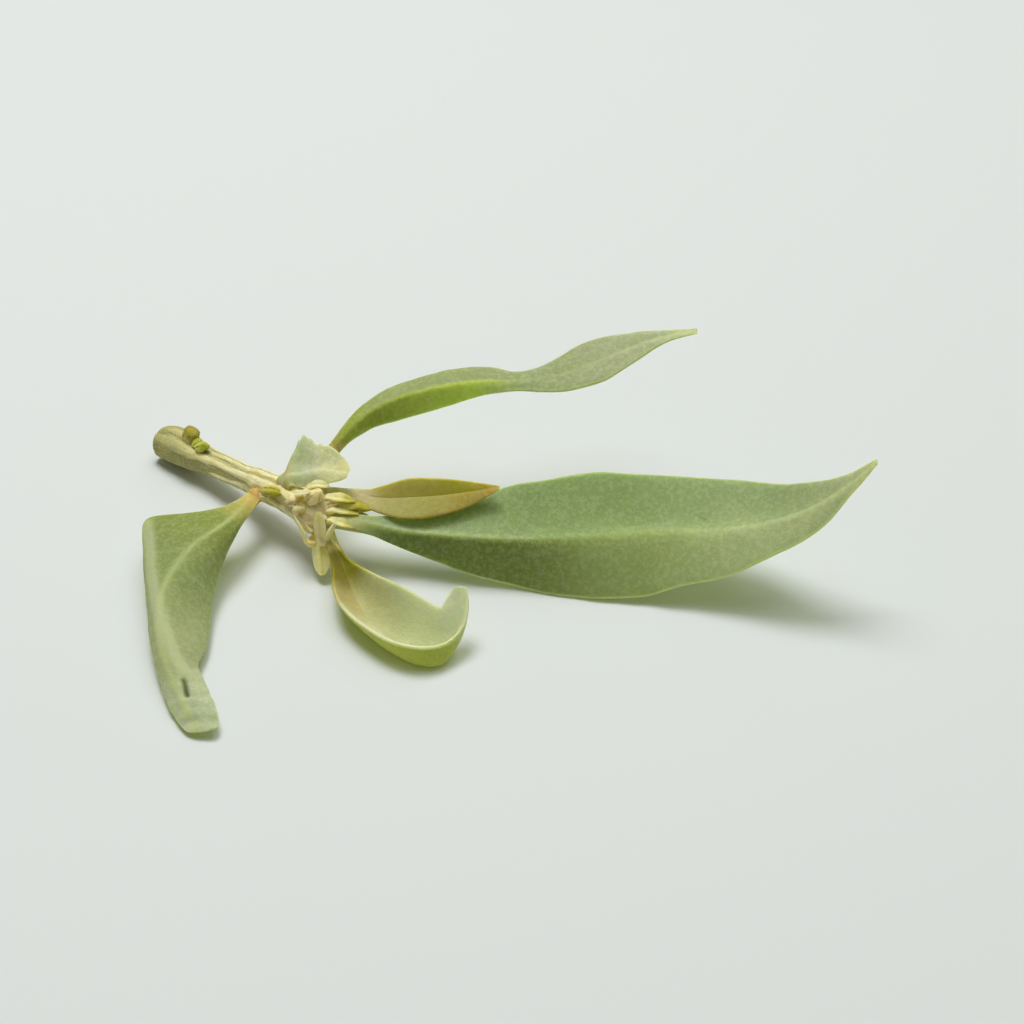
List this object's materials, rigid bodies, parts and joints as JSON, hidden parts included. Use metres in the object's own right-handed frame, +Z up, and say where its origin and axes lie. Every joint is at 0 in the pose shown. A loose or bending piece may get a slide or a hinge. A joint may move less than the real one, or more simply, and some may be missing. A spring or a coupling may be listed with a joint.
{
  "type": "saltbush sprig",
  "caption": "Small cut sprig of grey saltbush lying down: a ribbed straw-coloured stem with mealy grey-green leaves, buds and scales.",
  "frame": {"origin": "middle of the sprig's footprint, on the surface it lies on", "axes": "+Z up, +X along the large leaf from the crown towards its tip, +Y from the drooping leaf's tip towards the stem's cut end"},
  "size_m": [0.0714, 0.045, 0.0183],
  "materials": {
    "straw_bark": "dry ribbed straw-coloured bark, matte",
    "old_bark": "rough olive-brown bark, matte",
    "mealy_leaf": "grey-green leaf under a fine mealy scurf, matte",
    "bright_leaf": "yellow-green young leaf with a thin mealy scurf, matte",
    "olive_leaf": "olive-brown folded young leaf, matte",
    "pale_leaf": "pale silvery leaf underside, mealy, matte",
    "bud_scales": "olive bud, mealy, matte",
    "tan_scale": "dry tan scale, matte"
  },
  "bodies": {
    "root": {"main_stem": "straw_bark", "large_leaf": "mealy_leaf", "drooping_leaf": "mealy_leaf", "arching_leaf": "bright_leaf", "cupped_leaf": "bright_leaf", "folded_young_leaf": "olive_leaf", "torn_pale_leaf": "pale_leaf", "old_shoot_scar": "old_bark", "terminal_bud": "old_bark", "far_node_bud": "bud_scales", "drooping_leaf_bud": "bud_scales", "crown_bud_upper": "bud_scales", "crown_bud_lower": "bud_scales", "upright_scale": "tan_scale", "side_scale": "tan_scale", "sheath_stub": "tan_scale"}
  },
  "joints": []
}
